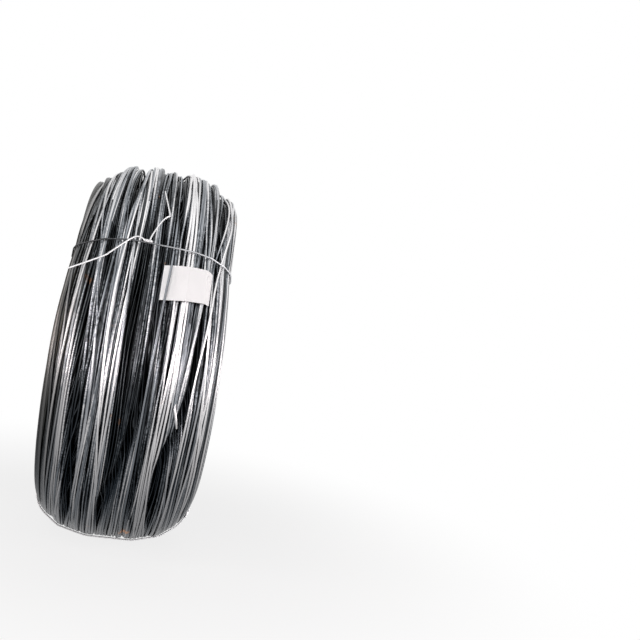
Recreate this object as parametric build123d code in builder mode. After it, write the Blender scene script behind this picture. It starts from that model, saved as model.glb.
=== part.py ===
from build123d import *
from math import acos, atan2, cos, degrees, hypot, pi, radians, sin, sqrt
import os

# A coil of steel wire rod, standing on its rim and bound with three wire ties.
# Millimetres. The coil's axis is X, the origin is the centre of its eye, and +Z is up.
# The front, with the paper tag, faces -Y.

# Coil
outer_radius = 450.0
eye_radius = 300.0
coil_half_width = 180.0
turn_pitch = 5.5
turn_bulge = 1.6

# Bundles that the turns have gathered into, from the middle of the rim to each end
bundle_spacing = 52.0
rim_bundle_radius = 35.0
end_bundle_radius = 37.0
inner_corner_radius = 60.0
valley_slope = 48.0

# Ties
tie_diameter = 3.5
tie_clearance = 0.3
groove_side_clearance = 0.5
tie_inner_corner_radius = 40.0
upper_tie_elevation = 36.0
lower_tie_elevation = -70.0
rear_tie_elevation = 163.0

# Twist that closes each tie, and the ends left beyond it, as runs along and across the tie
twist_length = 26.0
twist_diameter = 7.6
end_bend_radius = 10.0
long_left_end = [(-34.0, -5.0), (-75.0, -48.0), (-136.0, -79.0)]
long_top_end = [(24.0, 48.0), (36.0, 60.0), (20.0, 123.0)]
short_left_end = [(-27.0, 5.0), (-44.0, 22.0)]
short_right_end = [(27.0, -4.0), (46.0, -16.0)]

# Paper tag
tag_width = 105.0
tag_height = 74.0
tag_thickness = 0.4
tag_left_edge = 25.0
tag_elevation = 25.5
tag_clearance = 0.3

# Sizes that follow from the ones above
tie_radius = tie_diameter / 2
tie_offset = tie_radius + tie_clearance
turn_valley_radius = outer_radius - turn_bulge
turn_valley_half_width = coil_half_width - turn_bulge
end_radial = eye_radius + turn_bulge + inner_corner_radius


def section_circles():
    """The bundles' circles from the middle of the rim to the end, as (axial, radial, radius).

    The bundles between the rim and the end lie on an arc that starts level at the rim.
    """
    rim = (bundle_spacing, turn_valley_radius - rim_bundle_radius, rim_bundle_radius)
    end = (turn_valley_half_width - end_bundle_radius, end_radial, end_bundle_radius)
    across = end[0] - rim[0]
    down = rim[1] - end[1]
    crown_radius = (across**2 + down**2) / (2 * down)
    crown_angle = 2 * atan2(down, across)
    steps = round(crown_radius * crown_angle / bundle_spacing)
    spacing = 2 * crown_radius * sin(crown_angle / steps / 2)
    shoulders = [
        (
            rim[0] + crown_radius * sin(crown_angle * step / steps),
            rim[1] - crown_radius * (1 - cos(crown_angle * step / steps)),
            spacing / 2 / sin(radians(valley_slope)),
        )
        for step in range(1, steps)
    ]
    corner = (turn_valley_half_width - inner_corner_radius, end_radial, inner_corner_radius)
    return [(0.0, rim[1], rim_bundle_radius), rim, *shoulders, end, corner]


def meeting_point(first, second):
    """The point where two neighbouring circles meet, on the outer side of the section."""
    across = second[0] - first[0]
    inwards = second[1] - first[1]
    distance = hypot(across, inwards)
    along = (distance**2 + first[2] ** 2 - second[2] ** 2) / (2 * distance)
    height = sqrt(first[2] ** 2 - along**2)
    return (
        first[0] + (along * across - height * inwards) / distance,
        first[1] + (along * inwards + height * across) / distance,
    )


def turn_points(circle, start, end):
    """Points one turn apart on a circle, clockwise from start to end, without the last."""
    axial, radial, radius = circle
    first = atan2(start[1] - radial, start[0] - axial)
    last = atan2(end[1] - radial, end[0] - axial)
    turns = round((first - last) * radius / turn_pitch)
    angles = [first + (last - first) * turn / turns for turn in range(turns)]
    return [(axial + radius * cos(a), radial + radius * sin(a)) for a in angles]


def outline_points():
    """Points between the turns, from the eye's left edge round the rim to its right edge."""
    circles = section_circles()
    valleys = [meeting_point(a, b) for a, b in zip(circles, circles[1:])]
    eye_edge = (circles[-1][0], eye_radius + turn_bulge)
    right = []
    for circle, start, end in zip(circles[1:], valleys, valleys[1:] + [eye_edge]):
        right += turn_points(circle, start, end)
    right.append(eye_edge)
    left = [(-axial, radial) for axial, radial in reversed(right)]
    return left[:-1] + turn_points(circles[0], left[-1], right[0]) + right


def turn_crest(start, end):
    """The crest of one turn, standing out from the line between two points of the outline."""
    chord = Vector(*end) - Vector(*start)
    return Vector(*start) + chord / 2 + chord.normalized().rotate(Axis.Z, 90) * turn_bulge


def outwards(elevation):
    """The direction out from the axis at this elevation above the front."""
    return Vector(0, -cos(radians(elevation)), sin(radians(elevation)))


def section_plane(elevation):
    """A plane through the axis: its X runs along the axis and its Y outwards."""
    along = Vector(1, 0, 0)
    return Plane(origin=(0, 0, 0), x_dir=along, z_dir=along.cross(outwards(elevation)))


def rim_plane(elevation):
    """The plane on a tie's run over the rim: X along the axis, Y up the rim, Z outwards."""
    out = outwards(elevation)
    return Plane(origin=out * (outer_radius + tie_offset), x_dir=(1, 0, 0), z_dir=out)


def right_end_plane(elevation):
    """The plane on a tie's run down the right end: X outwards from the axis, Z along it."""
    out = outwards(elevation)
    across = Vector(coil_half_width + tie_offset, 0, 0)
    return Plane(origin=out * end_radial + across, x_dir=out, z_dir=(1, 0, 0))


# Wire coil: one turned section, with a turn every pitch round the rim and both ends,
# and a groove across the eye's wall where each tie has pulled the turns in
groove_width = tie_diameter + 2 * groove_side_clearance
groove_depth = tie_diameter + tie_clearance
points = outline_points()
left_eye_edge = (points[0][0], eye_radius)
right_eye_edge = (points[-1][0], eye_radius)
turns = []
for start, end in zip(points, points[1:]):
    turns += [start, turn_crest(start, end)]

with BuildPart() as wire_coil:
    with BuildSketch(Plane.XY):
        with BuildLine():
            Polyline(left_eye_edge, *turns, points[-1], right_eye_edge, close=True)
        make_face()
    revolve(axis=Axis.X)
    for elevation in (upper_tie_elevation, lower_tie_elevation, rear_tie_elevation):
        with BuildSketch(section_plane(elevation).offset(-groove_width / 2)):
            with Locations((0, eye_radius)):
                Rectangle(2 * coil_half_width, 2 * groove_depth)
        extrude(amount=groove_width, mode=Mode.SUBTRACT)

wire_coil.part.label = "wire_coil"


def touching_normal(first, second):
    """The direction out from the straight run that touches two circles on their outer side."""
    across = second[0] - first[0]
    up = second[1] - first[1]
    return atan2(up, across) + acos((first[2] - second[2]) / hypot(across, up))


def straight_run(first, second):
    """The two ends of the straight run that touches two circles on their outer side."""
    normal = touching_normal(first, second)
    return [
        (axial + radius * cos(normal), radial + radius * sin(normal))
        for axial, radial, radius in (first, second)
    ]


def stands_out(before, circle, after):
    """True where a wire drawn from before to after would press on the circle between them."""
    bend = touching_normal(before, circle) - touching_normal(circle, after)
    return (bend + pi) % (2 * pi) - pi > 0


def touched(circles):
    """The circles that a wire or sheet laid over them all touches, in the same order."""
    kept = circles[:1]
    for circle in circles[1:]:
        while len(kept) > 1 and not stands_out(kept[-2], kept[-1], circle):
            kept.pop()
        kept.append(circle)
    return kept


def tie_circles():
    """What a tie is drawn tight round, clockwise from the left of the eye, as section circles."""
    offset = turn_bulge + tie_offset
    right = [(axial, radial, radius + offset) for axial, radial, radius in section_circles()[1:-1]]
    corner_axial = coil_half_width + tie_offset - tie_inner_corner_radius
    corner_radial = eye_radius + tie_radius + tie_inner_corner_radius
    right.append((corner_axial, corner_radial, tie_inner_corner_radius))
    left = [(-axial, radial, radius) for axial, radial, radius in reversed(right)]
    return touched(left + right)


def middle_of_arc(circle, start, end):
    """The point half way round a circle, clockwise from start to end."""
    axial, radial, radius = circle
    first = atan2(start[1] - radial, start[0] - axial)
    last = atan2(end[1] - radial, end[0] - axial)
    if last > first:
        last -= 2 * pi
    middle = (first + last) / 2
    return (axial + radius * cos(middle), radial + radius * sin(middle))


def make_tie(elevation, twist_plane, end_routes):
    """A tie drawn tight round the section, with its twist and the ends left beyond it."""
    circles = tie_circles()
    runs = [straight_run(a, b) for a, b in zip(circles, circles[1:] + circles[:1])]
    raised_plane = twist_plane.offset(twist_diameter / 2)
    twist_start = raised_plane.from_local_coords((-twist_length / 2, 0, 0))
    with BuildPart() as tie:
        with BuildLine(section_plane(elevation)) as loop:
            for circle, before, after in zip(circles, runs[-1:] + runs, runs):
                ThreePointArc(before[1], middle_of_arc(circle, before[1], after[0]), after[0])
                Line(*after)
        path = loop.wires()[0]
        with BuildSketch(Plane(path @ 0, z_dir=path % 0)):
            Circle(tie_radius)
        sweep(path=path)

        with BuildSketch(Plane(twist_start, z_dir=twist_plane.x_dir)):
            Circle(twist_diameter / 2)
        extrude(amount=twist_length)

        for route in end_routes:
            twist_end = twist_length / 2 if route[0][0] > 0 else -twist_length / 2
            with BuildLine(raised_plane) as cut_end:
                FilletPolyline((0, 0), (twist_end, 0), *route, radius=end_bend_radius)
            path = cut_end.wires()[0]
            with BuildSketch(Plane(path @ 0, z_dir=path % 0)):
                Circle(tie_radius)
            sweep(path=path)
    return tie


tie_wire_upper = make_tie(
    upper_tie_elevation,
    rim_plane(upper_tie_elevation),
    [long_left_end, long_top_end],
)
tie_wire_upper.part.label = "tie_wire_upper"

tie_wire_lower = make_tie(
    lower_tie_elevation,
    right_end_plane(lower_tie_elevation),
    [short_left_end, short_right_end],
)
tie_wire_lower.part.label = "tie_wire_lower"

tie_wire_rear = make_tie(
    rear_tie_elevation,
    rim_plane(rear_tie_elevation),
    [short_left_end, short_right_end],
)
tie_wire_rear.part.label = "tie_wire_rear"

# Paper tag: flat over the rim bundle, then bent down to the next bundle that it touches
tag_offset = turn_bulge + tag_clearance + tag_thickness / 2
tag_arc = degrees(tag_height / outer_radius)
tag_top = (bundle_spacing, turn_valley_radius + tag_offset)
rim_bundle, next_bundle = touched(
    [(axial, radial, radius + tag_offset) for axial, radial, radius in section_circles()[1:-1]]
)[:2]
bend_end, next_touch = straight_run(rim_bundle, next_bundle)

with BuildPart() as paper_tag:
    with BuildSketch(section_plane(tag_elevation + tag_arc / 2)):
        with BuildLine():
            flat = Line((tag_left_edge, tag_top[1]), tag_top)
            bend = ThreePointArc(tag_top, middle_of_arc(rim_bundle, tag_top, bend_end), bend_end)
            slope = (Vector(*next_touch) - Vector(*bend_end)).normalized()
            Line(bend_end, Vector(*bend_end) + slope * (tag_width - flat.length - bend.length))
        trace(line_width=tag_thickness)
    revolve(axis=Axis.X, revolution_arc=tag_arc)

paper_tag.part.label = "paper_tag"

os.makedirs("parts", exist_ok=True)
export_step(wire_coil.part, "parts/wire_coil.step")
export_step(tie_wire_upper.part, "parts/tie_wire_upper.step")
export_step(tie_wire_lower.part, "parts/tie_wire_lower.step")
export_step(tie_wire_rear.part, "parts/tie_wire_rear.step")
export_step(paper_tag.part, "parts/paper_tag.step")
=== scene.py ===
from math import cos, pi, radians, sin

import bpy
import numpy as np
from mathutils import Matrix, Vector


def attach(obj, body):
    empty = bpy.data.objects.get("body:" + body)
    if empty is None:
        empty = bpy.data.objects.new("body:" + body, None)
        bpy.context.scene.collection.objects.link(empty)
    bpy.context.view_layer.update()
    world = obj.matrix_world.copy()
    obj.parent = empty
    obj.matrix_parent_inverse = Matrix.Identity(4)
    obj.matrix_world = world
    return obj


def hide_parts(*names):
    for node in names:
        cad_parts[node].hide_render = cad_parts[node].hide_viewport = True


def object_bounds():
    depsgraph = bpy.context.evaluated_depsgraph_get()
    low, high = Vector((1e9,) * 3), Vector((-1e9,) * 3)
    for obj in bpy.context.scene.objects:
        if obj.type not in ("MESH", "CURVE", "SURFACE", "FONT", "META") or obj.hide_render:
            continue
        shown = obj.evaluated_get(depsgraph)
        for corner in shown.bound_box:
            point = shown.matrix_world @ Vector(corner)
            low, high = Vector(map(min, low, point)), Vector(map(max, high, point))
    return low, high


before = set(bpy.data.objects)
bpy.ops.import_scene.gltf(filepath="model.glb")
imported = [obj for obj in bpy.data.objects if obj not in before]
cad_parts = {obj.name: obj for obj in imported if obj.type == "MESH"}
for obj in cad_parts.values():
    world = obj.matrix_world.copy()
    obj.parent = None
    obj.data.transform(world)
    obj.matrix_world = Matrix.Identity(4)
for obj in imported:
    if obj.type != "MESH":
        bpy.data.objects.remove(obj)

# The coil of wire rod, dressed. Metres, in the part's frame: X is the coil's axis, -Y is the
# front, and an elevation is the angle up from the front, round the axis.

cad_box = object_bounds()
bpy.context.scene.view_settings.view_transform = "Standard"
rng = np.random.default_rng(6446)

# Sizes of the part that the pieces follow
OUTER_RADIUS = 0.450
EYE_RADIUS = 0.300
HALF_WIDTH = 0.180
ROD_RADIUS = 0.00275
TIE_RADIUS = 0.00175
UPPER_TIE = radians(36.0)
LOWER_TIE = radians(-70.0)
REAR_TIE = radians(163.0)

# The bundles of the section, as (axial, radial, radius), on the right of the middle. The first
# three are raised by a crest, and the last only fills the section.
BUNDLES = [
    (0.052, 0.4134, 0.035),
    (0.1037, 0.3995, 0.036),
    (0.1414, 0.3616, 0.037),
    (0.1184, 0.3616, 0.060),
]
CRESTED_BUNDLES = 3

# How the turns are drawn
SEGMENTS = 144
SIDES = 5
ROD_PITCH = 0.0056
LAYERS = 3
LAYER_DEPTH = 0.0052
LAYER_STAGGER = 0.4
RIBBON_SUNK = 0.0034
MOST_IN_RIBBON = 5
STRAY_TURNS = 34
TIE_ROOM = 0.0035
BOX_MARGIN = 0.0002

# How far turns and valleys wander round the coil, one size for each order of a wave
RIBBON_WANDER = (0.0055, 0.0035, 0.0024, 0.0014, 0.0010)
RIBBON_LIFT = (0.0012, 0.0010, 0.0008)
TURN_WANDER = (0.0012, 0.0010, 0.0008, 0.0006, 0.0004)
TURN_LIFT = (0.0004, 0.0004, 0.0003)
STRAY_WANDER = (0.016, 0.010, 0.006, 0.003)
STRAY_LIFT = (0.0006, 0.0005, 0.0004)
VALLEY_WANDER = (0.007, 0.005, 0.004, 0.002)
VALLEY_CHANGE = (0.4, 0.45, 0.4)

# How far the turns are pressed in, and how much painted shade darkens the deeper layers and the
# turns that lie deep
TIE_SQUEEZE = 0.035
TIE_SQUEEZE_REACH = 0.16
TIE_BITE = 0.0015
TIE_BITE_REACH = 0.035
SHOULDER_SQUEEZE = 0.21
LAYER_SHADE = 0.68
BURIED_SHADE = 0.78
BURIED_FROM = 0.006
BURIED_OVER = 0.014

# The valleys between the bundles: their width, how hard they push the turns beside them, how
# close to the middle the push changes sides, and how far it reaches
VALLEY_WIDTH = 0.0070
VALLEY_PUSH = 0.24
PUSH_TURNS_OVER = 0.003
PUSH_REACH = 0.022

# The surface that closes the gaps between the turns, painted dark as the shade between them
INSIDE_DEPTH = 0.0195
RIDGE_HEIGHT = 0.0022
INSIDE_SHADE = 0.1

# The ties: how far a twist stands off the turns, the step along a loop, and the tones of
# twists and cut ends, which are barer than the loops
TWIST_HEIGHT = 0.0042
LOOP_STEP = 0.004
TWIST_TONE = 0.8
TAIL_TONE = 0.85

# The paper tag: its tilt is in radians round the coil for each metre along it, and its run is
# the part of its width that is left along the axis. The turns that hold it up are looked up at
# the slices, in halves of its height from its middle, and from TAG_BESIDE left of it on. The
# turn over the tag is lifted within TAG_COVER, in heights of the tag.
TAG_WIDTH = 0.105
TAG_HEIGHT = 0.078
TAG_LEFT = 0.025
TAG_ELEVATION = radians(26.0)
TAG_TILT = 0.26
TAG_RUN = 0.965
TAG_LIFT = 0.0006
TAG_CURL = 0.0012
TAG_RIPPLE = 0.0004
TAG_THICKNESS = 0.0003
TAG_SLICES = np.linspace(-1.3, 1.3, 11)
TAG_BESIDE = 0.02
TAG_COVER = 0.6

# Turns that lie over the others: the radial place from which a turn is on the rim, how near it
# has to be to count as lying under one, and the rise from it
RIM_FROM = 0.36
NEIGHBOUR_REACH = 0.0045
NEIGHBOUR_MARGIN = 0.0005
LONE_RISE = 1.2 * ROD_RADIUS
OVER_TAG_SINK = 0.0010


def outward(elevation):
    return np.array([0.0, -cos(elevation), sin(elevation)])


def at(axial, radial, elevation):
    """Points from places along the axis, out from it and round it."""
    return np.stack(
        [axial, -radial * np.cos(elevation), radial * np.sin(elevation)], axis=-1
    )


def convex_hull(points):
    """The corners of the convex hull of flat points, anticlockwise."""
    order = points[np.lexsort((points[:, 1], points[:, 0]))]

    def chain(row):
        kept = []
        for p in row:
            while len(kept) > 1:
                a, b = kept[-2], kept[-1]
                if (b[0] - a[0]) * (p[1] - a[1]) - (b[1] - a[1]) * (p[0] - a[0]) > 0:
                    break
                kept.pop()
            kept.append(p)
        return kept[:-1]

    return np.array(chain(order) + chain(order[::-1]))


def resample(corners, step):
    """Even points round a closed outline, about a step apart."""
    closed = np.vstack([corners, corners[:1]])
    lengths = np.hypot(*np.diff(closed, axis=0).T)
    along = np.concatenate([[0.0], np.cumsum(lengths)])
    count = max(int(round(along[-1] / step)), 8)
    places = np.linspace(0.0, along[-1], count, endpoint=False)
    return np.stack([np.interp(places, along, closed[:, k]) for k in (0, 1)], axis=1)


def circle_points(axial, radial, radius, count=96):
    turn = np.linspace(0.0, 2 * pi, count, endpoint=False)
    return np.stack([axial + radius * np.cos(turn), radial + radius * np.sin(turn)], axis=1)


# Outline of the section, clockwise from the middle of the eye's wall

OUTLINE_STEP = 0.001
EYE_WALL_RADIUS = 0.32
RIGHT_END_FROM = 0.1
NORMAL_STEPS = 4
crest = OUTER_RADIUS - BUNDLES[0][1] - BUNDLES[0][2]
outline = convex_hull(
    np.vstack([
        circle_points(side * axial, radial, radius + (crest if number < CRESTED_BUNDLES else 0.0))
        for number, (axial, radial, radius) in enumerate(BUNDLES)
        for side in (-1, 1)
    ])
)
outline = resample(outline, OUTLINE_STEP)
off_eye_wall = outline[:, 1] > EYE_WALL_RADIUS
start = np.argmin(np.abs(outline[:, 0]) + 10 * off_eye_wall)
outline = np.roll(outline, -start, axis=0)[::-1]
outline_length = len(outline) * OUTLINE_STEP
ahead = np.roll(outline, -NORMAL_STEPS, axis=0) - np.roll(outline, NORMAL_STEPS, axis=0)
normals = np.stack([-ahead[:, 1], ahead[:, 0]], axis=1)
normals /= np.linalg.norm(normals, axis=1, keepdims=True)


def on_outline(place, depth):
    """The axial and radial place of points this far round the outline and this deep in it."""
    row = (place / OUTLINE_STEP) % len(outline)
    low = np.floor(row).astype(int) % len(outline)
    high = (low + 1) % len(outline)
    share = (row - np.floor(row))[..., None]
    point = outline[low] * (1 - share) + outline[high] * share
    normal = normals[low] * (1 - share) + normals[high] * share
    moved = point - normal * depth[..., None]
    return moved[..., 0], moved[..., 1]


def place_of(axial, radial):
    """How far round the outline its nearest point to this one is."""
    return np.argmin(np.hypot(outline[:, 0] - axial, outline[:, 1] - radial)) * OUTLINE_STEP


def apart(place, other):
    """The signed distance round the outline from other to place."""
    half = outline_length / 2
    return (place - other + half) % outline_length - half


# Round the coil

round_coil = np.linspace(0.0, 2 * pi, SEGMENTS, endpoint=False)


def waves(count, sizes):
    """For each of count rows, a smooth closed wave round the coil, with a size for each order."""
    total = np.zeros((count, SEGMENTS))
    for order, size in enumerate(sizes, start=1):
        height = rng.normal(0.0, size, (count, 1))
        phase = rng.uniform(0.0, 2 * pi, (count, 1))
        total += height * np.cos(order * round_coil[None, :] - phase)
    return total


def angle_from(elevation):
    """The signed angle from this elevation to each step round the coil."""
    return (round_coil - elevation + pi) % (2 * pi) - pi


def about(elevation, spread):
    """One at this elevation, falling smoothly to nothing beyond the spread, both in degrees."""
    return np.exp(-((angle_from(radians(elevation)) / radians(spread)) ** 2))


def led_round(stations, column, evenings):
    """A column of stations, whose first is an elevation in degrees, led smoothly round."""
    values = np.interp(
        np.degrees(round_coil),
        [row[0] for row in stations],
        [row[column] for row in stations],
        period=360.0,
    )
    for _ in range(evenings):
        values = (np.roll(values, 1) + 2 * values + np.roll(values, -1)) / 4
    return values


def near_ties(reach):
    """One at the ties, falling to nothing at this reach round the rim from them."""
    total = np.zeros(SEGMENTS)
    for tie in (UPPER_TIE, LOWER_TIE, REAR_TIE):
        total += np.exp(-((angle_from(tie) * OUTER_RADIUS / reach) ** 2))
    return total[None, :]


# The bottom, where the turns rest on the floor and lie flatter, the top, where some gaps are
# wider, and the stretch where the left shoulder is narrower
BOTTOM = -90.0
at_bottom = about(BOTTOM, 60.0)
at_top = about(95.0, 22.0)
at_shoulder = about(88.0, 36.0)
resting = 1.0 - 0.9 * at_bottom[None, :]
flatter = 1.0 - 0.6 * at_bottom[None, :]

# Valleys, as the middles of each kind and their depth: on the rim and its shoulders, halfway
# between those, on the ends and in the eye
VALLEY_KINDS = [
    ([(0.026, 0.450), (0.079, 0.447), (0.128, 0.425)], 0.017),
    ([(0.004, 0.450), (0.052, 0.450), (0.104, 0.440), (0.150, 0.405)], 0.009),
    ([(0.180, 0.372), (0.168, 0.326)], 0.007),
    ([(0.070, 0.300), (0.015, 0.300)], 0.004),
]
valley_places = []
valley_depths = []
for side in (-1, 1):
    for middles, kind_depth in VALLEY_KINDS:
        for axial, radial in middles:
            valley_places.append(place_of(side * axial, radial))
            valley_depths.append(kind_depth)
valley_places = np.array(valley_places)
valley_depths = np.array(valley_depths)
valley_widths = np.full((len(valley_places), SEGMENTS), VALLEY_WIDTH)
valley_push = np.full(len(valley_places), VALLEY_PUSH)
valley_wander = waves(len(valley_places), VALLEY_WANDER)
valley_strength = np.clip(1.0 + waves(len(valley_places), VALLEY_CHANGE), 0.05, 1.6)
valley_strength *= 1.0 - 0.96 * at_bottom[None, :]


def lead_gap(side, axial, width, stations, wider_on_top=0.0, push=VALLEY_PUSH):
    """Leads one valley round the coil: stations are (elevation in degrees, axial, strength)."""
    base = place_of(side * axial, OUTER_RADIUS)
    number = int(np.argmin(np.abs(valley_places - base)))
    valley_widths[number] = width * (1.0 + wider_on_top * at_top)
    valley_push[number] = push
    moved = [(elevation, place_of(x, OUTER_RADIUS) - base) for elevation, x, _ in stations]
    valley_wander[number] = led_round(moved, 1, 4)
    valley_strength[number] = led_round(stations, 2, 4)


# The gaps that show most from the front
lead_gap(-1, 0.128, 0.0100, [
    (100, -0.125, 0.8), (57, -0.132, 1.2), (35, -0.122, 1.2), (12, -0.111, 1.9),
    (-2, -0.106, 2.1), (-15, -0.100, 2.1), (-30, -0.096, 2.0), (-50, -0.091, 1.5),
    (-75, -0.095, 0.1), (-120, -0.110, 0.3), (180, -0.120, 1.0),
], push=0.36)
lead_gap(-1, 0.079, 0.0085, [
    (100, -0.063, 1.4), (90, -0.063, 1.4), (57, -0.067, 1.1), (36, -0.087, 0.3),
    (20, -0.080, 0.1), (0, -0.070, 0.2), (-40, -0.060, 0.6), (-75, -0.070, 0.1),
    (-120, -0.070, 0.3), (180, -0.075, 1.0),
], wider_on_top=0.9)
lead_gap(1, 0.079, 0.0085, [
    (100, 0.044, 1.0), (90, 0.040, 1.0), (60, 0.036, 1.4), (36, 0.060, 1.3), (20, 0.062, 0.6),
    (0, 0.060, 0.4), (-40, 0.030, 0.6), (-75, 0.070, 0.1), (-120, 0.070, 0.3), (180, 0.080, 1.0),
], wider_on_top=0.6)
lead_gap(1, 0.128, 0.0095, [
    (100, 0.142, 1.2), (57, 0.150, 1.2), (36, 0.148, 0.9), (22, 0.130, 1.0), (9, 0.117, 1.6),
    (-4, 0.115, 1.6), (-15, 0.095, 1.4), (-26, 0.072, 1.4), (-43, 0.073, 1.3),
    (-75, 0.080, 0.1), (-120, 0.110, 0.3), (180, 0.120, 1.0),
])
lead_gap(1, 0.026, 0.0070, [
    (100, 0.000, 0.1), (57, 0.010, 0.5), (36, 0.020, 0.7), (22, 0.025, 0.9), (9, 0.021, 1.3),
    (-8, 0.018, 1.3), (-22, 0.005, 1.3), (-45, -0.028, 1.2), (-75, -0.030, 0.1),
    (-120, 0.000, 0.3), (180, 0.020, 1.0),
])

# The gaps close where the coil's weight presses the turns together, in degrees from the bottom
CLOSED_WITHIN = 24.0
OPENS_OVER = 14.0
from_bottom = np.degrees(np.abs(angle_from(radians(BOTTOM))))
valley_strength *= np.clip((from_bottom - CLOSED_WITHIN) / OPENS_OVER, 0.0, 1.0)


def sunk_in_valleys(place, follows):
    """How much the valleys move turns sideways and down, at each place round the coil."""
    aside = np.zeros_like(place)
    down = np.zeros_like(place)
    valleys = zip(
        valley_places, valley_depths, valley_wander, valley_strength, valley_widths, valley_push
    )
    for middle, depth, wander, change, width, push in valleys:
        gap = apart(place, middle + wander)
        strength = change * depth * follows
        down += strength * np.exp(-((gap / width) ** 2))
        falling = np.exp(-np.abs(gap) / PUSH_REACH)
        aside += push * strength * np.tanh(gap / PUSH_TURNS_OVER) * falling
    return aside, down


# The turns

def in_ribbons(count):
    """The number of the ribbon of each turn in a row of them, each ribbon with a random few."""
    ribbon_of = np.zeros(count, int)
    ribbon, left = 0, 0
    for number in range(count):
        if left == 0:
            ribbon += 1
            left = int(rng.integers(1, MOST_IN_RIBBON + 1))
        ribbon_of[number] = ribbon
        left -= 1
    return ribbon_of


def laid_turns():
    """The place round the outline of every turn, and its axial and radial place and its tone
    at every step round the coil. The layers lie in ribbons, with stray turns across them."""
    places, depths, follows, wander, lift, tones = [], [], [], [], [], []
    for layer in range(LAYERS):
        count = int(outline_length / ROD_PITCH)
        ribbon_of = in_ribbons(count)
        ribbons = int(ribbon_of[-1]) + 1
        shared = waves(ribbons, RIBBON_WANDER)
        shared_lift = waves(ribbons, RIBBON_LIFT)
        sunk = rng.uniform(0.0, RIBBON_SUNK, ribbons)
        own = waves(count, TURN_WANDER)
        own_lift = waves(count, TURN_LIFT)
        stagger = layer * LAYER_STAGGER * ROD_PITCH
        places.append(np.arange(count) * outline_length / count + stagger)
        layer_depth = layer * LAYER_DEPTH * flatter
        depths.append(ROD_RADIUS + layer_depth + sunk[ribbon_of][:, None] * resting)
        # Painted shade: each layer deeper in is darker again by this factor
        tones.append(rng.uniform(0.0, 1.0, count) * LAYER_SHADE**layer)
        follows.append(np.ones(count))
        wander.append(shared[ribbon_of] + own)
        lift.append(shared_lift[ribbon_of] + own_lift)

    places.append(rng.uniform(0.0, outline_length, STRAY_TURNS))
    depths.append(np.full((STRAY_TURNS, SEGMENTS), ROD_RADIUS))
    tones.append(rng.uniform(0.3, 1.0, STRAY_TURNS))
    follows.append(np.full(STRAY_TURNS, 0.6))
    wander.append(waves(STRAY_TURNS, STRAY_WANDER))
    lift.append(waves(STRAY_TURNS, STRAY_LIFT))

    base = np.concatenate(places)
    place = base[:, None] + np.vstack(wander)
    aside, down = sunk_in_valleys(place, np.concatenate(follows)[:, None])
    lifted = np.abs(np.vstack(lift)) * resting
    deep = np.vstack(depths) + down + lifted + TIE_BITE * near_ties(TIE_BITE_REACH) * resting
    axial, radial = pressed_in(*on_outline(place + aside, deep))
    # Painted shade: turns that lie deep, in lower layers and sunk in the valleys, are darkened
    buried = np.clip((deep - BURIED_FROM) / BURIED_OVER, 0.0, 1.0)
    tone = np.concatenate(tones)[:, None] * (1.0 - BURIED_SHADE * buried)
    return base, axial, radial, tone


def pressed_in(axial, radial):
    """Turns drawn in at the ties and at the top of the left shoulder, inside the part's sizes."""
    axial = axial * (1.0 - TIE_SQUEEZE * near_ties(TIE_SQUEEZE_REACH))
    axial = np.where(axial < 0, axial * (1.0 - SHOULDER_SQUEEZE * at_shoulder[None, :]), axial)
    across = HALF_WIDTH - ROD_RADIUS - BOX_MARGIN
    outer = OUTER_RADIUS - ROD_RADIUS - BOX_MARGIN
    inner = EYE_RADIUS + TIE_ROOM + ROD_RADIUS
    return np.clip(axial, -across, across), np.clip(radial, inner, outer)


def add_object(name, data):
    thing = bpy.data.objects.new(name, data)
    bpy.context.scene.collection.objects.link(thing)
    return thing


def keep_tone(mesh, values):
    """Keeps a tone on each point of a mesh, for the materials."""
    tone = mesh.attributes.new("tone", "FLOAT", "POINT")
    tone.data.foreach_set("value", values.astype(np.float32))


def tube_mesh(name, centres, rights, ups, radius, tones, closed=True):
    """Round tubes along rows of centres, with the tone of each centre kept on its points."""
    rows, steps, _ = centres.shape
    turn = np.linspace(0.0, 2 * pi, SIDES, endpoint=False)
    ring = (
        rights[:, :, None, :] * np.cos(turn)[None, None, :, None]
        + ups[:, :, None, :] * np.sin(turn)[None, None, :, None]
    )
    points = centres[:, :, None, :] + ring * radius
    index = np.arange(rows * steps * SIDES).reshape(rows, steps, SIDES)
    following = np.roll(index, -1, axis=1)
    if not closed:
        index = index[:, :-1]
        following = following[:, :-1]
    faces = np.stack(
        [index, np.roll(index, -1, axis=2), np.roll(following, -1, axis=2), following], axis=-1
    ).reshape(-1, 4)
    mesh = bpy.data.meshes.new(name)
    mesh.vertices.add(points.size // 3)
    mesh.vertices.foreach_set("co", points.astype(np.float32).ravel())
    mesh.loops.add(faces.size)
    mesh.loops.foreach_set("vertex_index", faces.astype(np.int32).ravel())
    mesh.polygons.add(len(faces))
    mesh.polygons.foreach_set("loop_start", np.arange(0, faces.size, 4, dtype=np.int32))
    mesh.polygons.foreach_set("use_smooth", np.ones(len(faces), bool))
    keep_tone(mesh, np.repeat(np.broadcast_to(tones, (rows, steps)).ravel(), SIDES))
    mesh.update(calc_edges=True)
    mesh.validate()
    return add_object(name, mesh)


def add_turns(name, axial, radial, tones):
    """The turns of one part of the coil, as one piece."""
    angle = np.broadcast_to(round_coil, axial.shape)
    centres = at(axial, radial, angle)
    rights = np.zeros_like(centres)
    rights[..., 0] = 1.0
    ups = at(np.zeros_like(axial), np.ones_like(radial), angle)
    return tube_mesh(name, centres, rights, ups, ROD_RADIUS, tones)


base_places, turn_axial, turn_radial, turn_tones = laid_turns()


# Materials

def node_tree(name):
    material = bpy.data.materials.new(name)
    material.use_nodes = True
    tree = material.node_tree
    return material, tree, tree.nodes["Principled BSDF"]


def feed(tree, socket, source):
    """Links a socket to source, or sets it where source is a plain value."""
    if isinstance(source, bpy.types.NodeSocket):
        tree.links.new(source, socket)
    else:
        socket.default_value = source


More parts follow.
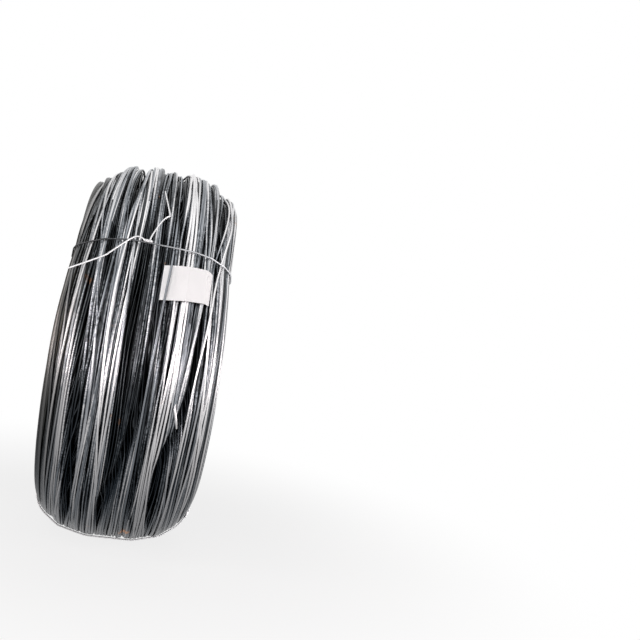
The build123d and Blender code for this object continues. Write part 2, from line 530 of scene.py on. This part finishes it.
def object_places(tree):
    """The place of each point in the object, whole and split into X, Y and Z."""
    place = tree.nodes.new("ShaderNodeTexCoord").outputs["Object"]
    split = tree.nodes.new("ShaderNodeSeparateXYZ")
    tree.links.new(place, split.inputs[0])
    return place, split.outputs


def tone_of(tree):
    """The tone that keep_tone kept on the mesh."""
    tone = tree.nodes.new("ShaderNodeAttribute")
    tone.attribute_name = "tone"
    return tone.outputs["Fac"]


def noise(tree, place, scale, detail):
    node = tree.nodes.new("ShaderNodeTexNoise")
    node.inputs["Scale"].default_value = scale
    node.inputs["Detail"].default_value = detail
    tree.links.new(place, node.inputs["Vector"])
    return node.outputs["Fac"]


def reckoned(tree, operation, first, second):
    """The result of a Math node on two sockets or values."""
    node = tree.nodes.new("ShaderNodeMath")
    node.operation = operation
    feed(tree, node.inputs[0], first)
    feed(tree, node.inputs[1], second)
    return node.outputs[0]


def mapped(tree, value, given, wanted, smooth=False):
    """A value taken from the given range to the wanted one, and held at its ends."""
    node = tree.nodes.new("ShaderNodeMapRange")
    if smooth:
        node.interpolation_type = "SMOOTHSTEP"
    node.inputs["From Min"].default_value = given[0]
    node.inputs["From Max"].default_value = given[1]
    node.inputs["To Min"].default_value = wanted[0]
    node.inputs["To Max"].default_value = wanted[1]
    tree.links.new(value, node.inputs["Value"])
    return node.outputs["Result"]


def mixed(tree, kind, factor, first, second):
    """A mix of two sockets or values of one kind, FLOAT or RGBA."""
    node = tree.nodes.new("ShaderNodeMix")
    node.data_type = kind
    feed(tree, node.inputs["Factor"], factor)
    feed(tree, node.inputs["A"], first)
    feed(tree, node.inputs["B"], second)
    return node.outputs["Result"]


def ramped(tree, value, stops):
    """The colour at a value between stops, which are (position, colour)."""
    ramp = tree.nodes.new("ShaderNodeValToRGB")
    elements = ramp.color_ramp.elements
    while len(elements) < len(stops):
        elements.new(0.5)
    for element, (position, colour) in zip(elements, stops):
        element.position = position
        element.color = colour
    tree.links.new(value, ramp.inputs["Fac"])
    return ramp.outputs["Color"]


STEEL_COLOURS = [
    (0.16, (0.010, 0.011, 0.012, 1)),
    (0.29, (0.060, 0.065, 0.070, 1)),
    (0.43, (0.270, 0.288, 0.312, 1)),
    (0.66, (0.815, 0.805, 0.812, 1)),
]
# Painted shade at the left end, in a dark olive-brown
LEFT_SHADE_COLOUR = (0.034, 0.030, 0.022, 1)
# Painted shade low down, in a blue-black
LOW_SHADE_COLOUR = (0.005, 0.012, 0.021, 1)
RUST_COLOUR = (0.42, 0.17, 0.04, 1)
RUST_SPOT = (0.034, -0.232, -0.385)
SPOT_EDGE = (0.015, 0.006)
# Where the painted shade at the left end begins and where it is full, along X
LEFT_SHADE_EDGE = (-0.110, -0.165)
# The heights from the bottom, where the painted shade low down is deepest, to where it is gone
LOW_SHADE_HEIGHTS = (-0.44, 0.04)


def streaks_along_rods(tree, tone, split):
    """Noise that differs from turn to turn, since each turn has a tone of its own."""
    along = tree.nodes.new("ShaderNodeCombineXYZ")
    tree.links.new(reckoned(tree, "MULTIPLY", tone, 41.0), along.inputs[0])
    tree.links.new(split["Y"], along.inputs[1])
    tree.links.new(split["Z"], along.inputs[2])
    return noise(tree, along.outputs[0], 6.0, 1.5)


def rust_share(tree, place):
    """Where the steel is rusty: a few specks all over, and one spot low at the front."""
    specks = mapped(tree, noise(tree, place, 26.0, 5.0), (0.70, 0.80), (0.0, 0.55))
    distance = tree.nodes.new("ShaderNodeVectorMath")
    distance.operation = "DISTANCE"
    distance.inputs[1].default_value = RUST_SPOT
    tree.links.new(place, distance.inputs[0])
    spot = mapped(tree, distance.outputs["Value"], SPOT_EDGE, (0.0, 0.9))
    return reckoned(tree, "MAXIMUM", spot, specks)


def steel_material():
    """Rod from near black to silver, with painted shade that darkens it to olive-brown at the left
    edge and to blue-black low down, and rusty.
    """
    material, tree, shader = node_tree("steel_rod")
    shader.inputs["Metallic"].default_value = 1.0
    place, split = object_places(tree)
    tone = tone_of(tree)
    streaks = streaks_along_rods(tree, tone, split)

    colour = ramped(tree, mixed(tree, "FLOAT", 0.40, tone, streaks), STEEL_COLOURS)
    # Painted shade: the steel darkens to olive-brown towards the left end
    at_left = mapped(tree, split["X"], LEFT_SHADE_EDGE, (0.0, 0.85))
    colour = mixed(tree, "RGBA", at_left, colour, LEFT_SHADE_COLOUR)
    # Painted shade: the steel darkens towards blue-black from the middle height down to the bottom
    unshaded = mapped(tree, split["Z"], LOW_SHADE_HEIGHTS, (0.06, 1.0))
    colour = mixed(tree, "RGBA", unshaded, LOW_SHADE_COLOUR, colour)
    colour = mixed(tree, "RGBA", rust_share(tree, place), colour, RUST_COLOUR)
    tree.links.new(colour, shader.inputs["Base Color"])

    roughness = mapped(tree, streaks, (0.0, 1.0), (0.25, 0.42))
    tree.links.new(roughness, shader.inputs["Roughness"])

    bump = tree.nodes.new("ShaderNodeBump")
    bump.inputs["Strength"].default_value = 0.08
    bump.inputs["Distance"].default_value = 0.0004
    tree.links.new(noise(tree, place, 380.0, 2.0), bump.inputs["Height"])
    tree.links.new(bump.outputs["Normal"], shader.inputs["Normal"])
    return material


TIE_COLOURS = [
    (0.20, (0.035, 0.037, 0.040, 1)),
    (0.45, (0.16, 0.17, 0.18, 1)),
    (0.80, (0.60, 0.62, 0.64, 1)),
]
FRESH_WIRE_COLOUR = (0.88, 0.89, 0.90, 1)


def tie_material():
    """Dull wire with mottled wear, and painted light that makes it paler to the right, with the
    twists and cut ends bare.
    """
    material, tree, shader = node_tree("tie_wire")
    shader.inputs["Metallic"].default_value = 0.7
    shader.inputs["Roughness"].default_value = 0.42
    place, split = object_places(tree)
    # Painted light: the wire grows paler towards the right, mixed with mottled wear
    to_the_right = mapped(tree, split["X"], (-0.10, 0.12), (0.0, 1.0))
    worn_and_lit = mixed(tree, "FLOAT", 0.65, noise(tree, place, 60.0, 5.0), to_the_right)
    dull = ramped(tree, worn_and_lit, TIE_COLOURS)
    colour = mixed(tree, "RGBA", tone_of(tree), dull, FRESH_WIRE_COLOUR)
    tree.links.new(colour, shader.inputs["Base Color"])
    return material


PAPER_COLOURS = [(0.0, (0.915, 0.94, 0.945, 1)), (1.0, (0.95, 0.975, 0.98, 1))]


def paper_material():
    """White paper with a faint grain of fibres."""
    material, tree, shader = node_tree("tag_paper")
    shader.inputs["Roughness"].default_value = 0.6
    place, _ = object_places(tree)
    colour = ramped(tree, noise(tree, place, 260.0, 6.0), PAPER_COLOURS)
    tree.links.new(colour, shader.inputs["Base Color"])
    return material


steel = steel_material()
tie_finish = tie_material()
paper = paper_material()


def dress(piece, material, slot, *nodes):
    piece.data.materials.append(material)
    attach(piece, "root")
    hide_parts(*nodes)
    return piece


# Turns, in pieces of neighbouring turns

PIECES = ["turns_eye", "turns_left_end", "turns_rim_left", "turns_rim_right", "turns_right_end"]
edges = [
    place_of(-0.118, 0.300),
    place_of(-0.170, 0.395),
    place_of(0.0, 0.450),
    place_of(0.170, 0.395),
    place_of(0.118, 0.300),
]
region = np.digitize(base_places % outline_length, edges) % len(PIECES)
for number, name in enumerate(PIECES):
    chosen = region == number
    turns = add_turns(name, turn_axial[chosen], turn_radial[chosen], turn_tones[chosen])
    dress(turns, steel, "steel_rod", "wire_coil")


def add_inside():
    """The turns deeper in, which close the gaps: one ridged surface under the laid turns, painted
    dark as shade.
    """
    profile = [0.0, RIDGE_HEIGHT, RIDGE_HEIGHT]
    ridges = int(outline_length / ROD_PITCH)
    count = ridges * len(profile)
    rows = np.arange(count) * outline_length / count
    step = np.tile(profile, ridges)
    place = np.repeat(rows[:, None], SEGMENTS, axis=1)
    aside, down = sunk_in_valleys(place, 1.0)
    axial, radial = on_outline(place + aside, INSIDE_DEPTH + down - step[:, None])
    points = at(axial, radial, np.broadcast_to(round_coil, axial.shape))
    index = np.arange(count * SEGMENTS).reshape(count, SEGMENTS)
    up = np.roll(index, -1, axis=0)
    faces = np.stack([index, up, np.roll(up, -1, axis=1), np.roll(index, -1, axis=1)], axis=-1)
    mesh = bpy.data.meshes.new("turns_inside")
    mesh.from_pydata(points.reshape(-1, 3).tolist(), [], faces.reshape(-1, 4).tolist())
    # Painted shade: the whole surface gets one dark tone
    keep_tone(mesh, np.full(len(mesh.vertices), INSIDE_SHADE))
    mesh.update()
    dress(add_object("turns_inside", mesh), steel, "steel_rod", "wire_coil")


add_inside()


# Ties

def column_at(elevation):
    """The axial and radial place of every turn at one elevation."""
    row = (elevation % (2 * pi)) / (2 * pi) * SEGMENTS
    low = int(row) % SEGMENTS
    share = row - int(row)
    high = (low + 1) % SEGMENTS
    axial = turn_axial[:, low] * (1 - share) + turn_axial[:, high] * share
    radial = turn_radial[:, low] * (1 - share) + turn_radial[:, high] * share
    return axial, radial


def drawn_tight(elevation, stand_off):
    """The outline of a tie drawn tight round the turns at one elevation, as flat points."""
    axial, radial = column_at(elevation)
    reach = ROD_RADIUS + TIE_RADIUS + stand_off
    turn = np.linspace(0.0, 2 * pi, 16, endpoint=False)
    around = np.stack([
        (axial[:, None] + reach * np.cos(turn)).ravel(),
        (radial[:, None] + reach * np.sin(turn)).ravel(),
    ], axis=1)
    return resample(convex_hull(around), LOOP_STEP)


def smooth_path(points, steps=10):
    """A smooth path through points, as a Catmull-Rom spline."""
    points = np.asarray(points, float)
    padded = np.vstack([2 * points[0] - points[1], points, 2 * points[-1] - points[-2]])
    share = np.linspace(0.0, 1.0, steps, endpoint=False)[:, None]
    path = []
    for a, b, c, d in zip(padded, padded[1:], padded[2:], padded[3:]):
        path.append(0.5 * (
            2 * b + (c - a) * share + (2 * a - 5 * b + 4 * c - d) * share**2
            + (3 * b - a - 3 * c + d) * share**3
        ))
    return np.vstack(path + [points[-1:]])


# A direction that no wire runs along, from which the sides of a tube are turned
ASLANT = outward(0.3) + np.array([0.31, 0.0, 0.0])


def path_tube(name, points, radius, closed=False, tone=0.5):
    """One round tube along a path in space."""
    points = np.asarray(points, float)
    if closed:
        ahead = np.roll(points, -1, axis=0) - np.roll(points, 1, axis=0)
    else:
        ahead = np.gradient(points, axis=0)
    ahead /= np.linalg.norm(ahead, axis=1, keepdims=True)
    side = np.cross(ahead, ASLANT)
    side /= np.linalg.norm(side, axis=1, keepdims=True)
    up = np.cross(side, ahead)
    return tube_mesh(name, points[None], side[None], up[None], radius, tone, closed)


def joined(name, pieces):
    """Several meshes as one piece."""
    bpy.ops.object.select_all(action="DESELECT")
    for piece in pieces:
        piece.select_set(True)
    bpy.context.view_layer.objects.active = pieces[0]
    bpy.ops.object.join()
    pieces[0].name = name
    pieces[0].data.name = name
    return pieces[0]


def rim_point(elevation, axial, up, height):
    """A point by a tie's crossing of the rim: along the axis, up the rim and out from it."""
    return at(axial, OUTER_RADIUS + height, elevation + up / OUTER_RADIUS)


def end_point(elevation, inward, up, height):
    """A point by a tie's run down the right end: towards the eye, round the end, and out."""
    radial = BUNDLES[2][1] - inward
    right_end = outline[outline[:, 0] > RIGHT_END_FROM]
    surface = right_end[np.argmin(np.abs(right_end[:, 1] - radial)), 0]
    surface *= 1.0 - TIE_SQUEEZE
    return at(surface + height, radial, elevation + up / radial)


def twist(name, point, elevation, middle, length=0.018, turns=2.5):
    """Two strands of a tie twisted round each other, along the first direction of point."""
    share = np.linspace(0.0, 1.0, 57)
    strands = []
    for number, start in enumerate((0.0, pi)):
        angle = start + turns * 2 * pi * share
        places = [
            point(
                elevation,
                middle + (s - 0.5) * length,
                TIE_RADIUS * cos(a),
                TWIST_HEIGHT + TIE_RADIUS * sin(a),
            )
            for s, a in zip(share, angle)
        ]
        strands.append(path_tube(f"{name}_strand_{number}", places, TIE_RADIUS, tone=TWIST_TONE))
    return strands


def add_tie(name, elevation, point, tails, middle=0.0, tone=0.0, stand_off=0.0):
    """A tie with its loop, twist and cut ends, which point places by the rim or the end."""
    flat = drawn_tight(elevation, stand_off)
    loop = at(flat[:, 0], flat[:, 1], np.full(len(flat), elevation))
    pieces = [path_tube(f"{name}_loop", loop, TIE_RADIUS, closed=True, tone=tone)]
    pieces += twist(name, point, elevation, middle)
    for number, tail in enumerate(tails):
        places = [point(elevation, *(0.001 * value for value in row)) for row in tail]
        tail_path = smooth_path(places)
        tail_name = f"{name}_tail_{number}"
        pieces.append(path_tube(tail_name, tail_path, TIE_RADIUS, tone=TAIL_TONE))
    dress(joined(name + "_dressed", pieces), tie_finish, "tie_wire", name)


# Cut ends of the ties, as (along the first direction, up or round, out) in millimetres
left_tail = [
    (-22, 0, 4), (-29, 4, 6), (-40, 3, 8), (-52, -7, 9), (-74, -32, 10), (-90, -50, 10),
    (-97, -56, 10), (-107, -62, 9), (-134, -77, 5), (-161, -91, 0),
]
top_tail = [
    (-12, 3, 4), (-9, 15, 6), (-1, 36, 8), (8, 56, 10), (15, 66, 11), (20, 71, 11),
    (19, 80, 11), (13, 108, 9), (7, 138, 6), (3, 163, 3),
]
short_tails = [
    [(-9, 0, 4), (-18, 2, 5), (-30, 8, 6), (-44, 20, 7)],
    [(9, 0, 4), (18, -1, 5), (32, -6, 7), (44, -14, 9)],
]
lower_tails = [[(-9, 0, 4), (-16, 1, 4), (-24, 4, 4)], short_tails[1]]
add_tie("tie_wire_upper", UPPER_TIE, rim_point, [left_tail, top_tail], middle=-0.016)
add_tie("tie_wire_lower", LOWER_TIE, end_point, lower_tails, tone=0.5, stand_off=0.0010)
add_tie("tie_wire_rear", REAR_TIE, rim_point, short_tails)


# Paper tag, laid on the turns

def tag_profile():
    """The upper side of the hull of the turns under the tag, as axial and radial places."""
    slices = []
    for share in TAG_SLICES:
        elevation = share * TAG_HEIGHT / 2 / OUTER_RADIUS + TAG_ELEVATION
        axial, radial = column_at(elevation)
        slices.append(np.stack([axial, radial + ROD_RADIUS], axis=1))
    points = np.vstack(slices)
    right_of = points[:, 0] > TAG_LEFT - TAG_BESIDE
    left_of = points[:, 0] < TAG_LEFT + TAG_WIDTH
    hull = convex_hull(points[right_of & left_of])
    hull = hull[np.argsort(hull[:, 0])]
    chord = np.interp(hull[:, 0], hull[[0, -1], 0], hull[[0, -1], 1])
    return hull[hull[:, 1] >= chord - 1e-9]


def add_tag(columns=36, rows=20):
    """The tag, slightly curled. Gives back the axial and radial places of its upper side."""
    upper = tag_profile()
    axial = TAG_LEFT + np.linspace(0.0, TAG_WIDTH * TAG_RUN, columns)
    height = np.interp(axial, upper[:, 0], upper[:, 1]) + TAG_LIFT
    arc = TAG_HEIGHT / OUTER_RADIUS
    points = []
    for share in np.linspace(-0.5, 0.5, rows):
        elevation = TAG_ELEVATION + share * arc + TAG_TILT * (axial - TAG_LEFT - TAG_WIDTH / 2)
        curl = TAG_CURL * (2 * share) ** 4
        radial = height + curl + TAG_RIPPLE * np.sin(axial * 130 + share * 3)
        points.append(at(axial, radial, elevation))
    points = np.array(points)
    index = np.arange(rows * columns).reshape(rows, columns)
    faces = np.stack(
        [index[:-1, :-1], index[:-1, 1:], index[1:, 1:], index[1:, :-1]], axis=-1
    ).reshape(-1, 4)
    mesh = bpy.data.meshes.new("paper_tag_dressed")
    mesh.from_pydata(points.reshape(-1, 3).tolist(), [], faces.tolist())
    mesh.update()
    tag = add_object("paper_tag_dressed", mesh)
    thick = tag.modifiers.new("thickness", "SOLIDIFY")
    thick.thickness = TAG_THICKNESS
    thick.offset = 0.0
    bpy.context.view_layer.objects.active = tag
    bpy.ops.object.modifier_apply(modifier="thickness")
    for polygon in tag.data.polygons:
        polygon.use_smooth = False
    dress(tag, paper, "tag_paper", "paper_tag")
    return axial, height + TAG_CURL


tag_axial, tag_radial = add_tag()


# Turns that lie across the others: one over the tag, one beside it, and a loose rod end

def lone_turn(route, over_tag=False):
    """One turn along a route of (elevation in degrees, axial place), outside the others."""
    axial = led_round(route, 1, 5)
    radial = np.zeros(SEGMENTS)
    for number, angle in enumerate(round_coil):
        others, heights = column_at(angle)
        distance = np.where(heights > RIM_FROM, np.abs(others - axial[number]), 1.0)
        near = distance < max(NEIGHBOUR_REACH, distance.min() + NEIGHBOUR_MARGIN)
        radial[number] = heights[near].max() + LONE_RISE
    if over_tag:
        under = np.abs(round_coil - TAG_ELEVATION) < TAG_HEIGHT / OUTER_RADIUS * TAG_COVER
        top = np.interp(axial, tag_axial, tag_radial) + ROD_RADIUS - OVER_TAG_SINK
        radial = np.where(under, np.maximum(radial, top), radial)
    for _ in range(2):
        radial = np.maximum(radial, (np.roll(radial, 1) + np.roll(radial, -1)) / 2)
    farther = np.maximum(np.abs(np.cos(round_coil)), np.abs(np.sin(round_coil)))
    limit = (OUTER_RADIUS - ROD_RADIUS - BOX_MARGIN) / farther
    return axial, np.minimum(radial, limit)


over_tag_route = [(0, 0.030), (20, 0.035), (32, 0.040), (90, 0.035), (180, 0.0), (270, 0.02)]
beside_tag_route = [
    (0, 0.122), (20, 0.134), (30, 0.136), (40, 0.146), (52, 0.160), (100, 0.150), (180, 0.12),
    (270, 0.10),
]
over_tag = lone_turn(over_tag_route, over_tag=True)
beside_tag = lone_turn(beside_tag_route)
lone_axial = np.stack([over_tag[0], beside_tag[0]])
lone_radial = np.stack([over_tag[1], beside_tag[1]])
lone = add_turns("turns_lone", lone_axial, lone_radial, np.array([[0.35], [0.75]]))
dress(lone, steel, "steel_rod", "wire_coil")

# The loose end's route, as (elevation in degrees, axial place, lift in millimetres)
LOOSE_END_RADIUS = OUTER_RADIUS - 0.012
loose_route = [
    (-6.0, 0.0895, -6), (-7.5, 0.091, 1), (-9.0, 0.094, 4), (-11.0, 0.098, 4), (-13.0, 0.101, -4),
]
loose_end = smooth_path([
    at(axial, LOOSE_END_RADIUS + 0.001 * lift, radians(elevation))
    for elevation, axial, lift in loose_route
])
dress(path_tube("rod_end_loose", loose_end, ROD_RADIUS, tone=0.8), steel, "steel_rod", "wire_coil")


# Floor, backdrop, lamps and world

def seen_directly(tree):
    """One for rays from the camera and for reflected and transmitted ones, zero for others."""
    path = tree.nodes.new("ShaderNodeLightPath")
    total = path.outputs["Is Camera Ray"]
    for kind in ("Is Glossy Ray", "Is Transmission Ray"):
        total = reckoned(tree, "MAXIMUM", total, path.outputs[kind])
    return total


def stage_material():
    """A white floor that glows like the backdrop, a little less near the coil."""
    material, tree, shader = node_tree("stage")
    shader.inputs["Base Color"].default_value = (0.93, 0.93, 0.93, 1)
    shader.inputs["Roughness"].default_value = 0.9
    shader.inputs["Specular IOR Level"].default_value = 0.1
    glow = tree.nodes.new("ShaderNodeEmission")
    glow.inputs["Strength"].default_value = 1.0
    place, _ = object_places(tree)
    away = tree.nodes.new("ShaderNodeVectorMath")
    away.operation = "LENGTH"
    tree.links.new(place, away.inputs[0])
    paler = mapped(tree, away.outputs["Value"], (0.35, 1.3), (0.80, 1.0), smooth=True)
    mix = tree.nodes.new("ShaderNodeMixShader")
    tree.links.new(reckoned(tree, "MULTIPLY", seen_directly(tree), paler), mix.inputs["Fac"])
    tree.links.new(shader.outputs[0], mix.inputs[1])
    tree.links.new(glow.outputs[0], mix.inputs[2])
    tree.links.new(mix.outputs[0], tree.nodes["Material Output"].inputs["Surface"])
    return material


floor_level = min(cad_box[0][2], cad_box[1][2])
bpy.ops.mesh.primitive_plane_add(size=60.0, location=(0.0, 0.0, floor_level))
floor = bpy.context.object
floor.name = "floor"
floor.data.materials.append(stage_material())

# The backdrop is white where it is seen, and lights the coil with only this share
WORLD_LIGHT = 0.12
world = bpy.data.worlds.new("studio")
bpy.context.scene.world = world
world.use_nodes = True
world_tree = world.node_tree
background = world_tree.nodes["Background"]
background.inputs["Color"].default_value = (1, 1, 1, 1)
world_strength = mapped(world_tree, seen_directly(world_tree), (0.0, 1.0), (WORLD_LIGHT, 1.0))
world_tree.links.new(world_strength, background.inputs["Strength"])


def add_lamp(name, place, target, size, power, colour=(1.0, 1.0, 1.0)):
    light = bpy.data.lights.new(name, "AREA")
    light.shape = "RECTANGLE"
    light.size, light.size_y = size
    light.energy = power
    light.color = colour
    lamp = add_object(name, light)
    lamp.location = place
    lamp.rotation_euler = (Vector(target) - Vector(place)).to_track_quat("-Z", "Y").to_euler()


LAMP_TINT = (1.0, 0.905, 0.905)
FRONT = (0, -0.2, 0.0)
add_lamp("left_window", (-2.0, -2.7, -0.05), FRONT, (0.3, 1.6), 32, LAMP_TINT)
add_lamp("front_window", (0.5, -3.3, 0.05), FRONT, (0.3, 1.5), 22, LAMP_TINT)
add_lamp("right_window", (2.5, -2.2, -0.05), FRONT, (0.3, 1.6), 20, LAMP_TINT)
add_lamp("left_side_window", (-3.2, -1.2, 0.25), FRONT, (0.5, 1.6), 50, LAMP_TINT)
add_lamp("right_side_window", (3.2, -1.0, 0.25), FRONT, (0.5, 1.6), 42, LAMP_TINT)
add_lamp("high_window", (-1.2, -2.4, 2.2), (0, -0.2, 0.1), (1.6, 0.5), 11)
add_lamp("ceiling", (0.2, -0.6, 2.8), (0, 0, 0), (2.4, 1.6), 8)

# Camera: its focal length, the frame and the place of the coil's centre in it, in pixels, and
# how far the picture leans
FOCAL_PIXELS = 917.0
FRAME_PIXELS = 640.0
CENTRE_PIXEL = (138.0, 350.0)
SENSOR_WIDTH = 36.0
CAMERA_DISTANCE = 2.30
CAMERA_ELEVATION = radians(6.5)
PICTURE_LEAN = radians(9.0)

camera_data = bpy.data.cameras.new("camera")
camera_data.sensor_width = SENSOR_WIDTH
camera_data.lens = SENSOR_WIDTH * FOCAL_PIXELS / FRAME_PIXELS
camera = add_object("camera", camera_data)
bpy.context.scene.camera = camera
back = Vector(outward(CAMERA_ELEVATION))
half = FRAME_PIXELS / 2
to_coil = Vector((
    (CENTRE_PIXEL[0] - half) / FOCAL_PIXELS,
    -(CENTRE_PIXEL[1] - half) / FOCAL_PIXELS,
    -1.0,
)).normalized()
level = (-back).to_track_quat("-Z", "Y").to_matrix()
lean = Matrix.Rotation(PICTURE_LEAN, 3, "Z")
swing = Vector((0, 0, -1)).rotation_difference(to_coil).to_matrix()
turned = level @ lean @ swing.inverted()
camera.matrix_world = Matrix.Translation(back * CAMERA_DISTANCE) @ turned.to_4x4()
